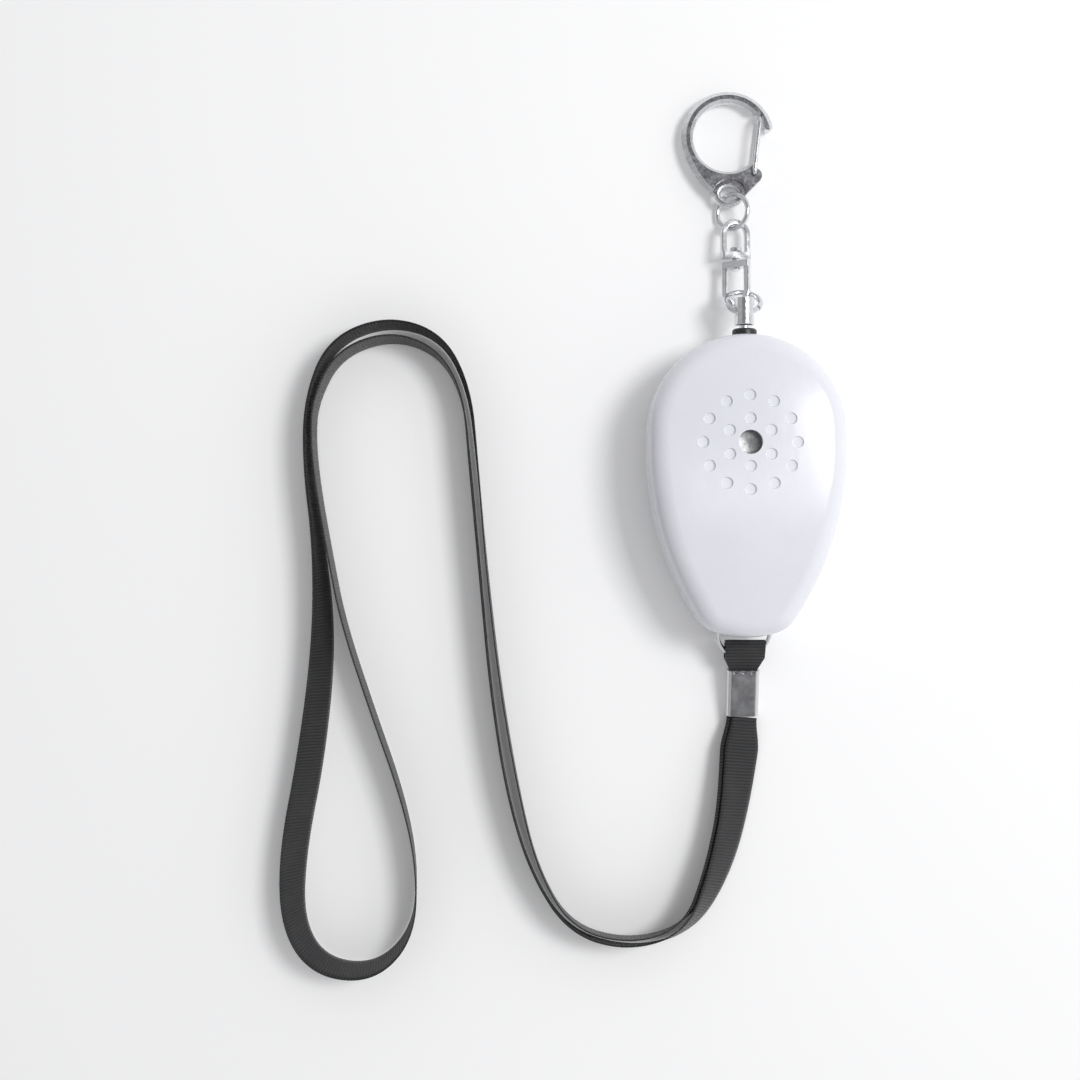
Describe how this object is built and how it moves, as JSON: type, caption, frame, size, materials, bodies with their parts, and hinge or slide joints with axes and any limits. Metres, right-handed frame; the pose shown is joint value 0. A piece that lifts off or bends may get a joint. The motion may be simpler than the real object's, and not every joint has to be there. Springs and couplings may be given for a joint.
{
  "type": "personal safety alarm",
  "caption": "Egg-shaped white personal alarm with a pull pin, chain with swivel and snap hook, and a doubled black neck ribbon held by a metal crimp.",
  "frame": {"origin": "on the flat back face of the case, under the axis of the sound hole", "axes": "+Z out of the front face, +Y towards the pull pin and the hook, +X to the right seen from the front"},
  "size_m": [0.1393, 0.2235, 0.023],
  "materials": {
    "white_plastic": "gloss",
    "black_plastic": "satin",
    "black_rubber": "matte",
    "zinc_steel": "satin",
    "chrome_metal": "polished",
    "nickel_zinc": "satin",
    "satin_steel": "satin",
    "cell_steel": "satin",
    "brass": "satin",
    "ceramic": "matte",
    "board_laminate": "satin",
    "wire_sleeve": "satin",
    "black_webbing": "matte"
  },
  "bodies": {
    "housing": {"front_shell": "white_plastic", "rear_shell": "white_plastic", "battery_door": "white_plastic", "battery_door_screw": "zinc_steel", "housing_screws": "zinc_steel", "sounder_disc": "brass", "piezo_ceramic": "ceramic", "sounder_gasket": "black_rubber", "circuit_board": "board_laminate", "control_chip": "black_plastic", "step_up_coil": "black_plastic", "board_components": "black_plastic", "battery_cells": "cell_steel", "battery_plate": "zinc_steel", "battery_spring": "zinc_steel", "pin_socket": "black_plastic", "fixed_contact": "brass", "contact_post": "brass", "lead_wires": "wire_sleeve", "pin_bushing": "black_plastic", "strap": "black_webbing"},
    "pull_pin": {"pull_pin": "chrome_metal"},
    "contact_leaf": {"contact_leaf": "brass"},
    "lower_ring": {"lower_ring": "chrome_metal"},
    "swivel_lower": {"swivel_lower_link": "chrome_metal", "swivel_rivet": "chrome_metal"},
    "swivel_upper": {"swivel_upper_link": "chrome_metal"},
    "upper_ring": {"upper_ring": "chrome_metal"},
    "hook": {"hook_frame": "nickel_zinc"},
    "gate": {"hook_gate": "chrome_metal"},
    "strap_ring": {"strap_ring": "chrome_metal", "strap_loop": "black_webbing", "strap_crimp": "satin_steel"}
  },
  "joints": [
    {"name": "pin_pull", "type": "slide", "parent": "housing", "child": "pull_pin", "axis": [0, 1, 0], "range_m": [0, 0.016]},
    {"name": "switch_contact", "type": "hinge", "parent": "housing", "child": "contact_leaf", "pos_m": [-0.0014, 0.0061, 0.0115], "axis": [0, 0, -1], "range_deg": [0, 11.5]},
    {"name": "lower_ring_swing", "type": "hinge", "parent": "pull_pin", "child": "lower_ring", "pos_m": [0, 0.03345, 0.0115], "axis": [1, 0, 0], "range_deg": [-30, 90]},
    {"name": "lower_link_swing", "type": "hinge", "parent": "lower_ring", "child": "swivel_lower", "pos_m": [-0.00175, 0.03889, 0.00551], "axis": [0.9198, 0.2636, -0.2907], "range_deg": [-25, 13]},
    {"name": "swivel_spin", "type": "hinge", "parent": "swivel_lower", "child": "swivel_upper", "pos_m": [-0.00128, 0.04615, 0.00504], "axis": [0, 0.9954, -0.0958], "continuous": true},
    {"name": "upper_ring_swing", "type": "hinge", "parent": "swivel_upper", "child": "upper_ring", "pos_m": [-0.00128, 0.05725, 0.00397], "axis": [0.9833, -0.0175, -0.1814], "range_deg": [-14, 20]},
    {"name": "hook_swing", "type": "hinge", "parent": "upper_ring", "child": "hook", "pos_m": [-0.0025, 0.0644, 0.00333], "axis": [0.7762, 0.1474, 0.613], "range_deg": [-14, 14]},
    {"name": "hook_gate_open", "type": "hinge", "parent": "hook", "child": "gate", "pos_m": [0.00345, 0.0696, 0.00316], "axis": [0, 0.0349, 0.9994], "range_deg": [0, 28], "stiffness_Nm_per_rad": 0.02, "springref_deg": -11.46},
    {"name": "strap_ring_swing", "type": "hinge", "parent": "housing", "child": "strap_ring", "pos_m": [0, -0.0434, 0.0115], "axis": [1, 0, 0], "range_deg": [-44, 0], "deforming": ["strap"]}
  ],
  "couplings": [
    {"joint": "switch_contact", "follows": "pin_pull", "rad_per_m": 12.532}
  ]
}
